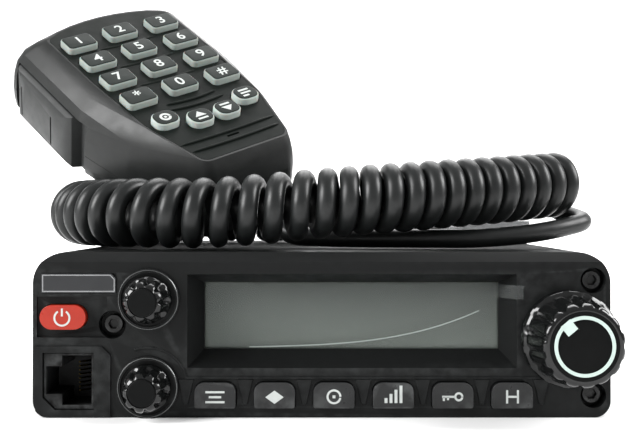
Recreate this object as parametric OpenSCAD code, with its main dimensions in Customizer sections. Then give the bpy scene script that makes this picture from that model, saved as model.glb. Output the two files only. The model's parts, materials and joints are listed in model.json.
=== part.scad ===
// Mobile transceiver with a keypad hand microphone on a curly cord.
// Origin: centre of the casing's base. +X is the operator's right, +Y runs from the panel to the
// heat sink, +Z is up. The panel's face is the plane y = face_y.

/* [Casing] */
// Width of the casing across the panel
body_w = 140; // [140:0.5:142]
// Height of the casing
body_h = 40; // [40:0.5:41]
// Depth of the casing from the panel's face to the fin tips
body_d = 125; // [121:1:135]
// Radius of the casing's upper edges
r_top = 7.5; // [7:0.1:8]
// Radius of the casing's lower edges
r_bottom = 4; // [3.5:0.1:4.5]
// Thickness of the sheet metal covers
cover_t = 1.2; // [1:0.1:1.3]
// Thickness of one heat sink fin
fin_t = 2; // [1.4:0.1:2.4]
// Distance from one fin to the next
fin_pitch = 5.4; // [4.8:0.1:6.5]

/* [Front panel] */
// Depth of the moulded front panel
bezel_d = 16; // [15.9:0.1:16.1]
// Wall thickness of the front panel
bezel_wall = 2.5; // [2.3:0.1:2.6]
// Width of one soft key
key_w = 9.9; // [9:0.1:10.4]
// Height of one soft key
key_h = 6.2; // [5.6:0.1:6.4]
// Distance from one soft key to the next
key_pitch = 14.33; // [14.2:0.01:14.5]
// Travel of the soft keys and the power button
key_travel = 0.8; // [0.5:0.1:0.9]
// Radius of the tuning dial at its skirt
dial_r = 11.6; // [11:0.1:12]
// Radius of the tuning dial at its front
dial_front_r = 9.4; // [9:0.1:10]
// How far the tuning dial stands out of the panel
dial_len = 18.5; // [16:0.5:20]
// Radius of the volume and squelch knobs at their skirt
knob_r = 5.7; // [5.4:0.1:6]
// How far the volume and squelch knobs stand out of the panel
knob_len = 10; // [9:0.5:12]

/* [Hand microphone] */
// Widest half width of the hand microphone
mic_half_w = 29.8; // [29.5:0.1:30]
// Thickness of the hand microphone at its top end
mic_t = 29; // [28.5:0.1:29.5]
// Wall thickness of the microphone shells
mic_wall = 2.2; // [2:0.1:2.3]
// Distance between keypad columns
col_pitch = 14.5; // [14.3:0.1:14.6]
// Distance between keypad rows
row_pitch = 11; // [10.8:0.1:11.1]
// Travel of the push to talk button
ptt_travel = 1.5; // [1:0.1:1.6]

/* [Curly cord] */
// Diameter of the cord
cord_d = 5; // [4.8:0.1:5]
// Outer diameter of the coiled stretch
coil_d = 18.4; // [18:0.1:18.4]

/* [Hidden] */

$fn = 48;
eps = 0.01;
face_y = -body_d / 2;

// Depths behind the panel's face, along +Y
cover_y0 = bezel_d + 0.3;
sink_y = body_d - 13;
plate_y = body_d - 9;
chassis_front = 2;
rear_wall = 4;
board_y = 10;
stem_y = board_y - key_travel - 3.2;

// Casing levels and half widths
chassis_inset = cover_t + 0.2;
wall_x = body_w / 2 - 6.5;
floor_z = 12;
floor_t = 2.5;
split_z = body_h / 2;
split_gap = 0.15;

// Side screws and bracket holes: [distance behind the face, height]
side_screws = [[26, 30], [102, 30], [26, 9], [102, 9]];
bracket_y = [45, 80];
bracket_r = 1.65;

// Panel features: [x, z]
screw_at = [[-50.8, 22.5], [65.8, 33.2], [65.8, 5.4]];
volume_at = [-41.9, 28.6];
squelch_at = [-42.1, 7.4];
dial_at = [59.5, 19.4];
button_at = [-62.55, 21.4];
key_x0 = -25.7;
key_z = 2.5;
button_w = 11.1;
button_h = 5.9;
shaft_r = 3;
running = 0.05;
collar_r = 7.5;

// Display recess and window: [x low, x high, z low, z high]
recess = [-32.6, 47.3, 12, 34.7];
window = [-29.1, 43.7, 15.9, 32.4];
recess_d = 6.5;
lip_d = 0.7;

// Microphone jack, an eight-way modular socket on its side: [x low, x high, z low, z high]
jack_body = [-67.4, -55.2, 2, 15.6];
plug_way = [-62.85, -55.8, 3.05, 15];
latch_way = [-66.8, -62.8, 5.7, 12.35];
jack_depth = 13;
jack_chamfer = 3;

// Loudspeaker grille: radius and distance behind the face
grille_r = 17;
grille_y = 62;

// Spaces between the fins kept clear for the connectors: [x low, x high]
fin_x0 = -65.6;
antenna_bay = [-49, -19];
power_bay = [14, 60];

// Rear connectors: [x, z], and half the spacing of the antenna socket's flange screws
antenna_screw = 9.1;
antenna_at = [-34, 20];
dc_at = [28, 20];
speaker_at = [52, 20];

// The microphone's own frame: x across the keypad, y towards its top end, z out of its face
mic_at = [-63.6, 74.3, 105.3];
mic_turn = [35.4, -18.1, 36.7];
mic_split = -17;
mic_end_y = -73.5;
row_y0 = -1.6;
// How much lower the outer columns sit than the middle one, and the keypad's place across the face
row_sag = 0.7;
keypad_x = 0.2;
lower_keys = [[-13.6, -47.9], [-4.4, -51.6], [4.8, -51.6], [14, -47.9]];
ptt_y = [-30.5, 8];
ptt_z = [-26, -8];
ptt_in = 5.4;
relief_z = -15.5;
relief_len = 12.5;
face_half_w = 21.6;
mic_screw_at = [[0, 3, -25.9], [-8, -61, -20.9], [8, -61, -20.9]];

// Routes: x, distance behind the panel's face, height
coil_route = [
    [66, 44, 57.5], [58, 37, 56.8], [45, 28.5, 55.6], [30, 21.5, 54.4], [15, 17, 53.2],
    [0, 15, 52], [-15, 15, 50.6], [-30, 15.5, 49.6], [-45, 19, 49.6], [-57, 28, 49.6],
    [-66, 41, 49.6], [-69, 55, 49.6], [-66, 69, 49.6], [-56, 81, 49.6], [-40, 87, 49.6],
    [-22, 89, 49.6], [-2, 89, 49.6]
];
lead_route = [
    [-8, 33.9, 43.4], [-1, 32, 43], [6, 29.5, 42.8], [16, 27, 42.8], [28, 25, 42.8],
    [40, 25, 42.8], [52, 26.8, 43.6], [62, 30, 45], [69, 34, 46.4], [72, 37.5, 47.2],
    [71, 41.5, 48.1], [67.5, 45.2, 49.6], [64, 48, 52], [61.7, 48.8, 55.8]
];
tail_route = [
    [-4.8, 95.4, 51.7], [-3.2, 96.4, 47.9], [1.2, 95, 45.3], [8, 91.4, 44.2],
    [15.8, 87.2, 43.7], [22, 84.6, 43.2], [29.5, 82, 43], [37, 80.5, 43]
];
plug_at = [37, 80.5, 43];
// Tip of the strain relief, where the lead starts
relief_tip = [-11.3, 36.7, 45.8];

// ---------- placing ----------

module at_face() {
    translate([0, face_y, 0]) children();
}

module at_mic() {
    translate([mic_at[0], mic_at[1] + face_y, mic_at[2]]) rotate(mic_turn) children();
}

// Extrudes an outline drawn in x and z from y0 to y1
module along_y(y0, y1) {
    translate([0, y1, 0]) rotate([90, 0, 0]) linear_extrude(y1 - y0) children();
}

// A round bar along +Y centred on at = [x, z]
module bar_y(at, y0, y1, r1, r2 = 0) {
    translate([at[0], y0, at[1]]) rotate([-90, 0, 0])
        cylinder(h = y1 - y0, r1 = r1, r2 = r2 > 0 ? r2 : r1);
}

// A round bar along X at depth y and height z, between x0 and x1
module bar_x(y, z, x0, x1, r) {
    translate([x0, y, z]) rotate([0, 90, 0]) cylinder(h = x1 - x0, r = r);
}

module box(low, high) {
    translate(low) cube(high - low);
}

// Rectangle [x low, x high, z low, z high] grown by g
module rect(r, g = 0) {
    translate([r[0] - g, r[2] - g]) square([r[1] - r[0] + 2 * g, r[3] - r[2] + 2 * g]);
}

// Upright outline standing on z = 0, with its own radius at the top and at the bottom
module outline(w, h, rt, rb) {
    for (s = [-1, 1]) {
        translate([s * (w / 2 - rt), h - rt]) circle(rt);
        translate([s * (w / 2 - rb), rb]) circle(rb);
    }
    translate([-w / 2, rb]) square([w, h - rt - rb]);
    translate([-w / 2 + rt, h / 2]) square([w - 2 * rt, h / 2]);
    translate([-w / 2 + rb, 0]) square([w - 2 * rb, h / 2]);
}

module casing(inset = 0) {
    translate([0, inset])
        outline(body_w - 2 * inset, body_h - 2 * inset, r_top - inset, r_bottom - inset);
}

// ---------- casing ----------

module chassis() {
    fin_cut = fin_pitch - fin_t;
    color("#3a3c3d") at_face() difference() {
        union() {
            along_y(cover_y0, sink_y + 0.2) casing(chassis_inset);
            along_y(sink_y + 0.2, body_d) casing();
        }
        // board bay above the floor and wiring bay below it
        box([-wall_x, cover_y0 + chassis_front, floor_z + floor_t],
            [wall_x, sink_y - rear_wall, body_h + 1]);
        box([-wall_x, cover_y0 + chassis_front, -1], [wall_x, sink_y - rear_wall, floor_z]);
        // cable way in the front wall
        box([-30, cover_y0 - 1, 20], [30, cover_y0 + chassis_front + 1, 28]);
        // slots between the fins
        for (x = [fin_x0 : fin_pitch : -fin_x0])
            box([x, plate_y, -1], [x + fin_cut, body_d + 1, body_h + 1]);
        for (bay = [antenna_bay, power_bay])
            box([bay[0], plate_y, -1], [bay[1], body_d + 1, body_h + 1]);
        for (sx = [-1, 1], sz = [-1, 1])
            bar_y(antenna_at + antenna_screw * [sx, sz], plate_y - 3, plate_y + 1, 1.4);
        bar_y(antenna_at, sink_y - 6, plate_y + 1, 6.4);
        box([dc_at[0] - 8.2, sink_y - 6, dc_at[1] - 5.2],
            [dc_at[0] + 8.2, plate_y + 1, dc_at[1] + 5.2]);
        bar_y(speaker_at, sink_y - 6, plate_y + 1, 3.1);
        // tapped holes for the bracket and the cover screws
        for (s = [-1, 1]) {
            for (y = bracket_y)
                bar_x(y, split_z, s > 0 ? wall_x - 1 : -body_w / 2 - 1,
                      s > 0 ? body_w / 2 + 1 : -wall_x + 1, bracket_r);
            for (p = side_screws)
                bar_x(p[0], p[1], s > 0 ? wall_x - 1 : -body_w / 2 - 1,
                      s > 0 ? body_w / 2 + 1 : -wall_x + 1, 1.4);
        }
        for (p = screw_at) bar_y(p, cover_y0 - 1, 26, 1.5);
    }
    // post behind the screw beside the power button
    color("#3a3c3d") at_face() difference() {
        bar_y(screw_at[0], cover_y0 + chassis_front, 26, 4);
        bar_y(screw_at[0], cover_y0 - 1, 27, 1.5);
    }
}

module cover_shell(z0, z1) {
    intersection() {
        along_y(cover_y0, sink_y) difference() {
            casing();
            casing(cover_t);
        }
        box([-body_w, 0, z0], [body_w, body_d, z1]);
    }
}

module side_holes(z0, z1) {
    for (s = [-1, 1]) {
        for (p = side_screws)
            if (p[1] > z0 && p[1] < z1)
                bar_x(p[0], p[1], s * body_w / 2 - 3, s * body_w / 2 + 3, 2.8);
        for (y = bracket_y) bar_x(y, split_z, s * body_w / 2 - 3, s * body_w / 2 + 3, 3.2);
    }
}

module top_cover() {
    color("#26282a") at_face() difference() {
        cover_shell(split_z + split_gap, body_h + 1);
        side_holes(split_z, body_h);
        // grille slots over the loudspeaker
        for (k = [-4 : 4]) {
            half = sqrt(grille_r * grille_r - 16 * k * k);
            box([-half, grille_y + 4 * k - 0.8, body_h - 3],
                [half, grille_y + 4 * k + 0.8, body_h + 1]);
        }
    }
}

module bottom_cover() {
    color("#26282a") at_face() difference() {
        cover_shell(-1, split_z - split_gap);
        side_holes(0, split_z);
    }
}

// Screw with its head's underside on z = 0
module case_screw() {
    cylinder(h = 1.2, r = 2.6);
    translate([0, 0, -4.2]) cylinder(h = 4.3, r = 1.3);
}

// Eight for the covers and four for the antenna socket's flange
module case_screws() {
    color("#2a2a2a") at_face() {
        for (s = [-1, 1], p = side_screws)
            translate([s * (body_w / 2 - cover_t - 0.1), p[0], p[1]]) rotate([0, s * 90, 0])
                case_screw();
        for (sx = [-1, 1], sz = [-1, 1])
            translate([antenna_at[0] + sx * antenna_screw, plate_y + 2.2,
                       antenna_at[1] + sz * antenna_screw])
                rotate([-90, 0, 0]) case_screw();
    }
}

// ---------- front panel ----------

module soft_key_outline(gap = 0) {
    translate([0, -gap]) outline(key_w + 2 * gap, key_h + 2 * gap, 2.4 + gap, 0.6 + gap);
}

module button_outline(gap = 0) {
    translate([0, -gap])
        outline(button_w + 2 * gap, button_h + 2 * gap, 2.9 + gap, 2.9 + gap);
}

module counterbore(at, r) {
    bar_y(at, -1, 4.6, r);
    bar_y(at, -1, bezel_d + 1, 1.7);
}

// Four sloping walls from the rim of the display recess back to the window
module recess_funnel() {
    hull() {
        along_y(-eps, 0) rect(recess);
        along_y(recess_d, recess_d + eps) rect(window);
    }
}

module front_bezel() {
    jack_frame = [-69.3, -51.1, 0.2, 17.3];
    color("#1c1e1e") at_face() difference() {
        union() {
            difference() {
                along_y(0, bezel_d) casing();
                along_y(bezel_wall, bezel_d + 1) casing(bezel_wall);
            }
            // walls of the display recess
            box([recess[0] - 2, 2, 10], [recess[1] + 2, recess_d + lip_d, 36.7]);
            // screw posts
            for (p = screw_at) intersection() {
                bar_y(p, 2, bezel_d, 4.2);
                along_y(0, bezel_d) casing(0.5);
            }
            // collars round the two small knobs
            for (p = [volume_at, squelch_at])
                intersection() {
                    bar_y(p, -1.2, 1, collar_r);
                    along_y(-2, 1) casing();
                }
            // raised frame round the microphone socket, its upper right corner cut off
            intersection() {
                along_y(-0.6, 1) difference() {
                    rect(jack_frame);
                    translate([jack_frame[1], jack_frame[3]]) rotate(45) square(3, center = true);
                }
                along_y(-2, 1) casing();
            }
        }
        // bevel along the upper front edge
        translate([-body_w, 0, 0]) rotate([90, 0, 90]) linear_extrude(2 * body_w)
            polygon([[-3, body_h - 4.95], [-3, body_h + 2], [4.86, body_h + 2]]);
        recess_funnel();
        along_y(recess_d - 1, recess_d + 2) rect(window);
        for (i = [0 : 5])
            along_y(-2, 4) translate([key_x0 + i * key_pitch, key_z]) soft_key_outline(0.2);
        along_y(-2, stem_y + 2) translate([button_at[0], button_at[1]]) button_outline(0.2);
        // shallow pocket round the power button, running into the screw's counterbore
        along_y(-1, 1) rect([-69, -52, 19.4, 29.3]);
        for (p = [volume_at, squelch_at]) {
            bar_y(p, -3, 5, 3.6);
            bar_y(p, -3, -0.2, 6.6);
        }
        bar_y(dial_at, -3, 5, 4.4);
        along_y(-2, bezel_d + 1) jack_outline(0.1);
        counterbore(screw_at[0], 3.4);
        counterbore(screw_at[1], 3.1);
        counterbore(screw_at[2], 3.1);
        // seat of the badge plate
        along_y(-1, 0.5) rect([-68, -49.7, 30.1, 35]);
    }
}

module panel_screws() {
    color("#202020") at_face()
        for (p = screw_at) difference() {
            union() {
                bar_y(p, 2.2, 4.6, 2.2);
                bar_y(p, 4.6, 25, 1.4);
            }
            translate([p[0], 2.1, p[1]]) rotate([-90, 0, 0]) cylinder(h = 1.5, r = 1.3, $fn = 6);
        }
}

module display_window() {
    color([0.5, 0.55, 0.52, 0.5]) at_face()
        along_y(recess_d + lip_d, recess_d + lip_d + 1.2) rect(window, 1.5);
}

// Protective film with its peel tab folded forwards over the recess's right wall
module display_film() {
    film_y = recess_d + 0.45;
    color([0.8, 0.85, 0.82, 0.4]) at_face() union() {
        along_y(film_y, film_y + 0.2) rect(window, -0.4);
        translate([0, 0, 28.7]) linear_extrude(3.3) polygon([
            [42.5, film_y + 0.1], [46.6, -0.45], [48.8, -0.55],
            [48.8, -0.3], [46.8, -0.2], [42.8, film_y + 0.1]
        ]);
    }
}

module lcd_module() {
    color("#7d8a80") at_face() along_y(8.5, 9.9) rect([-31.5, 46, 13.5, 34.8]);
}

module badge_plate() {
    color("#7a7d80") at_face() along_y(-0.3, 0.45) difference() {
        rect([-67.9, -49.8, 30.2, 34.9]);
        translate([-49.8, 34.9]) rotate(45) square(1.6, center = true);
    }
}

module power_button() {
    color("#d7411f") at_face() translate([button_at[0], 0, button_at[1]]) {
        along_y(-1, stem_y) button_outline();
        along_y(bezel_wall + 0.4, bezel_wall + 1.8) translate([0.75, -0.7])
            outline(button_w - 0.1, button_h + 1.4, 3, 3);
    }
}

module soft_key(i) {
    color("#2a2c2e") at_face() translate([key_x0 + i * key_pitch, 0, key_z]) {
        along_y(-2 * key_travel, stem_y) soft_key_outline();
        along_y(bezel_wall + 0.4, bezel_wall + 1.8) translate([0, 0.1])
            outline(key_w + 1.6, key_h + 0.6, 2.6, 0.6);
    }
}

module key_1() { soft_key(0); }
module key_2() { soft_key(1); }
module key_3() { soft_key(2); }
module key_4() { soft_key(3); }
module key_5() { soft_key(4); }
module key_6() { soft_key(5); }

// Fluted knob with a skirt, on a 6 mm shaft
module small_knob(at) {
    flutes = 8;
    grip_r = knob_r - 0.6;
    color("#121414") at_face() {
        difference() {
            union() {
                bar_y(at, -knob_len, -2.5, grip_r);
                bar_y(at, -3, -0.5, knob_r);
            }
            bar_y(at, -knob_len + 2, 0, shaft_r + 0.02);
            for (a = [0 : flutes - 1])
                translate([at[0], 0, at[1]]) rotate([0, 360 / flutes * a, 0])
                    bar_y([grip_r + 0.9, 0], -knob_len - 1, -3, 1.5);
        }
        bar_y(at, -knob_len + 2, 9, shaft_r);
    }
}

module volume_knob() { small_knob(volume_at); }
module squelch_knob() { small_knob(squelch_at); }

module tuning_dial() {
    flutes = 14;
    color("#0e1010") at_face() {
        difference() {
            union() {
                bar_y(dial_at, -4.5, -0.6, dial_r);
                bar_y(dial_at, -dial_len, -4.5, dial_front_r, dial_r - 0.8);
            }
            bar_y(dial_at, -dial_len + 4, 0, shaft_r + 0.02);
            bar_y(dial_at, -2.5, 0, 9.5);
            for (a = [0 : flutes - 1])
                translate([dial_at[0], 0, dial_at[1]]) rotate([0, 360 / flutes * a, 0])
                    bar_y([dial_front_r + 1.6, 0], -dial_len - 1, -5.5, 1.5);
        }
        bar_y(dial_at, -dial_len + 4, 9, shaft_r);
    }
}

// Printed ring and pointer on the dial's flat front
module dial_ring() {
    ring_r = 6.95;
    color("#cddcd7") at_face() translate([dial_at[0], 0, dial_at[1]])
        along_y(-dial_len - 0.3, -dial_len) {
            difference() {
                circle(ring_r);
                circle(ring_r - 0.8);
            }
            rotate(130) translate([ring_r - 2.8, -1.4]) square(2.8);
        }
}

module control_body(at, w, y0) {
    difference() {
        union() {
            box([at[0] - w / 2, y0, at[1] - w / 2], [at[0] + w / 2, board_y, at[1] + w / 2]);
            bar_y(at, bezel_wall + 0.1, y0, shaft_r + 1.2);
        }
        bar_y(at, 0, board_y + 1, shaft_r + running);
    }
}

module rotary_controls() {
    color("#6d7073") at_face() {
        control_body(volume_at, 9, 4.4);
        control_body(squelch_at, 9, 4.4);
        control_body(dial_at, 12.6, 5);
    }
}

// Outline of the jack's body, its lower left corner cut off
module jack_outline(gap = 0) {
    difference() {
        rect(jack_body, gap);
        translate([jack_body[0] - gap, jack_body[2] - gap]) rotate(45)
            square(jack_chamfer * sqrt(2), center = true);
    }
}

module mic_jack() {
    color("#0c0c0c") at_face() difference() {
        along_y(0.2, bezel_d - 0.2) jack_outline();
        along_y(-1, jack_depth) {
            rect(plug_way);
            rect(latch_way);
        }
    }
}

// Eight spring contacts along the wall opposite the latch way
module jack_contacts() {
    pitch = 1.02;
    wire = 0.4;
    z0 = (plug_way[2] + plug_way[3]) / 2 - 3.5 * pitch - wire / 2;
    color("#c9a94a") at_face()
        for (i = [0 : 7])
            translate([plug_way[1] - 0.4, jack_depth - 0.4, z0 + i * pitch]) rotate([0, 0, -35])
                box([-wire, -6.8, 0], [0, 0, wire]);
}

module front_board() {
    color("#1d5c35") at_face() difference() {
        along_y(board_y, board_y + 1.6) {
            rect([-46.2, 60.5, 3, 37]);
            rect([-66, -55.6, 18, 35.3]);
            rect([-66, -46, 27.2, 35.3]);
        }
        for (p = [volume_at, squelch_at, dial_at]) bar_y(p, board_y - 1, board_y + 3, 3.4);
    }
}

// ---------- inside the casing ----------

module main_board() {
    board_z = floor_z + floor_t + 1.5;
    color("#1d5c35") at_face() {
        box([-60, 28, board_z], [60, 96, board_z + 1.6]);
        for (x = [-56, 56], y = [32, 92])
            translate([x, y, floor_z + floor_t]) cylinder(h = 1.5, r = 2.5);
        // screening can, processor and reservoir capacitors
        box([-52, 36, board_z + 1.6], [-8, 66, board_z + 7]);
        box([4, 72, board_z + 1.6], [18, 86, board_z + 3]);
        for (x = [28 : 11 : 50]) translate([x, 84, board_z + 1.6]) cylinder(h = 10, r = 4);
    }
}

module power_module() {
    color("#888888") at_face() {
        box([-16, 97, floor_z + floor_t], [14, 107.5, floor_z + floor_t + 6]);
        for (x = [-12 : 6 : 10])
            box([x, 96.2, floor_z + floor_t + 3.2], [x + 1, 97, floor_z + floor_t + 3.6]);
    }
}

module speaker() {
    top = body_h - cover_t - 0.3;
    color("#2b2b2b") at_face() translate([0, grille_y, 0]) rotate_extrude() polygon([
        [0, top - 11], [9, top - 11], [9, top - 6], [19, top - 1.6], [20, top - 1.6], [20, top],
        [18.4, top], [8, top - 4.4], [0, top - 3.4]
    ]);
}

module antenna_socket() {
    y0 = plate_y;
    color("#b8bcc0") at_face() {
        difference() {
            union() {
                along_y(y0, y0 + 2.2) difference() {
                    translate(antenna_at) square(25.4, center = true);
                    for (sx = [-1, 1], sz = [-1, 1])
                        translate(antenna_at + antenna_screw * [sx, sz])
                            circle(1.7);
                }
                bar_y(antenna_at, y0, y0 + 13.2, 7.9);
                bar_y(antenna_at, y0 - 7, y0, 6.2);
            }
            bar_y(antenna_at, y0 + 4, y0 + 14, 6);
        }
        difference() {
            bar_y(antenna_at, y0 + 3.5, y0 + 11.5, 2.5);
            bar_y(antenna_at, y0 + 4.5, y0 + 14, 1.95);
        }
    }
}

module dc_inlet() {
    color("#17181a") at_face() {
        difference() {
            union() {
                along_y(plate_y, plate_y + 2) translate(dc_at) square([22, 16], center = true);
                along_y(plate_y - 9, plate_y + 10) translate(dc_at) square([16, 10], center = true);
            }
            along_y(plate_y + 3, plate_y + 11) translate(dc_at) square([13.2, 7.2], center = true);
        }
        for (s = [-1, 1])
            along_y(plate_y + 2, plate_y + 8.5) translate([dc_at[0] + s * 4, dc_at[1]])
                square([1.2, 5], center = true);
    }
}

module speaker_jack() {
    color("#b8bcc0") at_face() difference() {
        union() {
            translate([speaker_at[0], plate_y, speaker_at[1]]) rotate([-90, 0, 0])
                cylinder(h = 2, r = 4.6, $fn = 6);
            bar_y(speaker_at, sink_y - rear_wall - 1, plate_y + 3.5, 3);
            box([speaker_at[0] - 4, sink_y - rear_wall - 10, speaker_at[1] - 3.5],
                [speaker_at[0] + 4, sink_y - rear_wall - 0.2, speaker_at[1] + 3.5]);
        }
        bar_y(speaker_at, sink_y - rear_wall - 7, plate_y + 5, 1.8);
    }
}

// ---------- hand microphone ----------

// Section of the microphone across its thickness: wide is 0 at the face and 1 at the parting
// line, and t takes off a wall
module mic_section(wide, t = 0) {
    half = face_half_w + (mic_half_w - face_half_w) * wide;
    shoulder_y = 6.5 + 7 * wide;
    waist = 20.2 + 5.4 * wide;
    tail = 15.4 + 0.8 * wide;
    r = max(3.5 + wide, t + 0.5);
    crown_y = 10.5 + 4 * wide;
    crown_r = 52;
    hull() {
        for (s = [-1, 1]) {
            translate([s * (half - r), shoulder_y - r]) circle(r - t, $fn = 32);
            translate([s * (half - r), -22 - 5 * wide]) circle(r - t, $fn = 32);
            translate([s * (waist - r), -46]) circle(r - t, $fn = 32);
            translate([s * (tail - r), -68.8 + r - 4.7 * wide]) circle(r - t, $fn = 32);
        }
        polygon([
            for (a = [-18 : 6 : 18])
                [(crown_r - t) * sin(a), crown_y - crown_r + (crown_r - t) * cos(a)]
        ]);
    }
}

module mic_slice(z, wide, t = 0) {
    translate([0, 0, z]) linear_extrude(eps) mic_section(wide, t);
}

// The rear face leans in towards the cord end
module mic_back_slice(z, t) {
    translate([0, 0, z + 0.6]) rotate([-4.4, 0, 0]) linear_extrude(eps) mic_section(1, t);
}

module mic_key_outline(i, gap = 0) {
    if (i < 12)
        translate([keypad_x + (i % 3 - 1) * col_pitch,
                   row_y0 - floor(i / 3) * row_pitch - row_sag * abs(i % 3 - 1) - 3.6 - gap])
            outline(9.9 + 2 * gap, 7.2 + 2 * gap, 1.6 + gap, 1.6 + gap);
    else
        translate([lower_keys[i - 12][0], lower_keys[i - 12][1] - 3.4 - gap])
            outline(7.8 + 2 * gap, 6.8 + 2 * gap, 2.8 + gap, 2.8 + gap);
}

module ptt_cut() {
    box([-mic_half_w - 5, ptt_y[0] - 0.3, ptt_z[0] - 0.3],
        [-mic_half_w + ptt_in + ptt_travel, ptt_y[1] + 0.3, ptt_z[1] + 0.3]);
}

module relief_cut(r) {
    translate([0, mic_end_y - 2, relief_z]) rotate([-90, 0, 0]) cylinder(h = 6, r = r);
}

module mic_front_shell() {
    color("#2c2e2f") at_mic() difference() {
        hull() {
            mic_slice(-eps, 0);
            mic_slice(-2.2, 0.36);
            mic_slice(-5, 0.68);
            mic_slice(-8.5, 0.88);
            mic_slice(-12.5, 0.97);
            mic_slice(mic_split, 1);
        }
        hull() {
            mic_slice(-2.6, 0.36, 1.4);
            mic_slice(-7.5, 0.8, mic_wall);
            mic_slice(mic_split - 1, 1, mic_wall);
        }
        // seat of the face plate, and the keypad openings
        translate([0, 0, -1.2]) linear_extrude(2) mic_section(0, 0.7);
        translate([0, 0, -5]) linear_extrude(6)
            for (i = [0 : 15]) mic_key_outline(i, 0.25);
        ptt_cut();
        relief_cut(3.7);
    }
}

module mic_rear_shell() {
    color("#2c2e2f") at_mic() difference() {
        hull() {
            mic_slice(mic_split - 0.15, 1);
            mic_slice(-20.5, 0.99);
            mic_slice(-23.5, 0.94);
            mic_back_slice(-mic_t, 4.5);
        }
        hull() {
            mic_slice(mic_split + 1, 1, mic_wall);
            mic_slice(-21.5, 0.95, mic_wall);
            mic_back_slice(-mic_t + mic_wall, 6.2);
        }
        ptt_cut();
        relief_cut(3.7);
        translate([0, -14, -mic_t - 3]) cylinder(h = 8, r = 2.1);
        for (p = mic_screw_at) translate([p[0], p[1], p[2] - 3]) cylinder(h = 8, r = 2.5);
    }
}

module mic_face_plate() {
    color("#2d3430") at_mic() translate([0, 0, -1.15]) linear_extrude(1.2) difference() {
        mic_section(0, 0.8);
        for (i = [0 : 15]) mic_key_outline(i, 0.25);
        translate([-2, -61.9]) square([4, 0.8]);
    }
}

module mic_board() {
    color("#1d5c35") at_mic() {
        difference() {
            translate([0, 0, -6.6]) linear_extrude(1.6) mic_section(0.3, 3.4);
            translate([0, -62, -8]) linear_extrude(4) square([12, 10], center = true);
        }
        // push to talk switch, just clear of the pressed button's flange
        box([-mic_half_w + ptt_in + ptt_travel + 1.3, -10, -19], [-14, -3, -6.6]);
        box([5, -30, -8], [15, -20, -6.6]);
    }
}

module mic_capsule() {
    color("#9a9da0") at_mic() translate([0, -61.5, -7.4]) cylinder(h = 4.6, r = 3.8);
}

module mic_screws() {
    color("#8c8f92") at_mic()
        for (p = mic_screw_at) translate(p) difference() {
            union() {
                translate([0, 0, -0.9]) cylinder(h = 1.8, r = 2.3);
                cylinder(h = 8, r = 1.2);
            }
            translate([0, 0, -1]) cylinder(h = 1.2, r = 1, $fn = 6);
        }
}

// Button on the rear that drops into a hanger clip
module hang_button() {
    color("#a9adb0") at_mic() translate([0, -14, 0]) {
        translate([0, 0, -mic_t - 4]) cylinder(h = 2.2, r = 6.5);
        translate([0, 0, -mic_t - 1.8]) cylinder(h = 8, r = 2);
    }
}

// Crowned along its length, with a low step at its lower end that closes the finger recess
module ptt_button() {
    face_x = -mic_half_w - 0.7;
    inner_x = -mic_half_w + ptt_in;
    step_y = ptt_y[0] + 6.1;
    color("#2c2e2f") at_mic() {
        difference() {
            intersection() {
                translate([0, 0, ptt_z[0]]) linear_extrude(ptt_z[1] - ptt_z[0]) polygon([
                    [face_x + 2.6, ptt_y[1]], [face_x + 1, ptt_y[1] - 0.8],
                    [face_x + 0.3, ptt_y[1] - 2.6], [face_x, ptt_y[1] - 7],
                    [face_x, step_y + 6], [face_x + 0.5, step_y + 2.4],
                    [face_x + 1.4, step_y + 0.6], [face_x + 4.2, step_y - 0.6],
                    [face_x + 4.2, ptt_y[0]], [inner_x, ptt_y[0]], [inner_x, ptt_y[1]]
                ]);
                translate([0, ptt_y[1], 0]) rotate([90, 0, 0])
                    linear_extrude(ptt_y[1] - ptt_y[0]) polygon([
                        [face_x, ptt_z[0] + 3], [face_x + 0.5, ptt_z[0] + 1.2],
                        [face_x + 1.8, ptt_z[0]], [inner_x, ptt_z[0]], [inner_x, ptt_z[1]],
                        [face_x + 1.8, ptt_z[1]], [face_x + 0.6, ptt_z[1] - 0.9],
                        [face_x, ptt_z[1] - 2.6]
                    ]);
            }
            // grip grooves across the button's face
            for (y = [-14.3, 3.7])
                box([face_x - 1, y, ptt_z[0] + 2.6], [face_x + 0.5, y + 0.6, ptt_z[1] - 5.5]);
        }
        // retaining flange inside the shells
        box([inner_x, ptt_y[0] - 1.3, ptt_z[0] + 4.6], [inner_x + 1, ptt_y[1] - 3, ptt_z[1] + 0.7]);
    }
}

module mic_key(i) {
    color("#98a09b") at_mic() {
        translate([0, 0, -3.9]) linear_extrude(5.9) mic_key_outline(i);
        translate([0, 0, -3.9]) linear_extrude(0.9) mic_key_outline(i, 0.6);
    }
}

module mic_key_1() { mic_key(0); }
module mic_key_2() { mic_key(1); }
module mic_key_3() { mic_key(2); }
module mic_key_4() { mic_key(3); }
module mic_key_5() { mic_key(4); }
module mic_key_6() { mic_key(5); }
module mic_key_7() { mic_key(6); }
module mic_key_8() { mic_key(7); }
module mic_key_9() { mic_key(8); }
module mic_key_10() { mic_key(9); }
module mic_key_11() { mic_key(10); }
module mic_key_12() { mic_key(11); }
module mic_key_13() { mic_key(12); }
module mic_key_14() { mic_key(13); }
module mic_key_15() { mic_key(14); }
module mic_key_16() { mic_key(15); }

// ---------- cord ----------

module strain_relief() {
    color("#1a1b1c") at_mic() translate([0, mic_end_y, relief_z]) rotate([90, 0, 0]) {
        translate([0, 0, 0.3]) cylinder(h = relief_len, r1 = 4.6, r2 = 3.1);
        translate([0, 0, -3.6]) cylinder(h = 3.9, r = 3.55);
        translate([0, 0, -4.6]) cylinder(h = 1.2, r = 4.4);
    }
}

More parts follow.
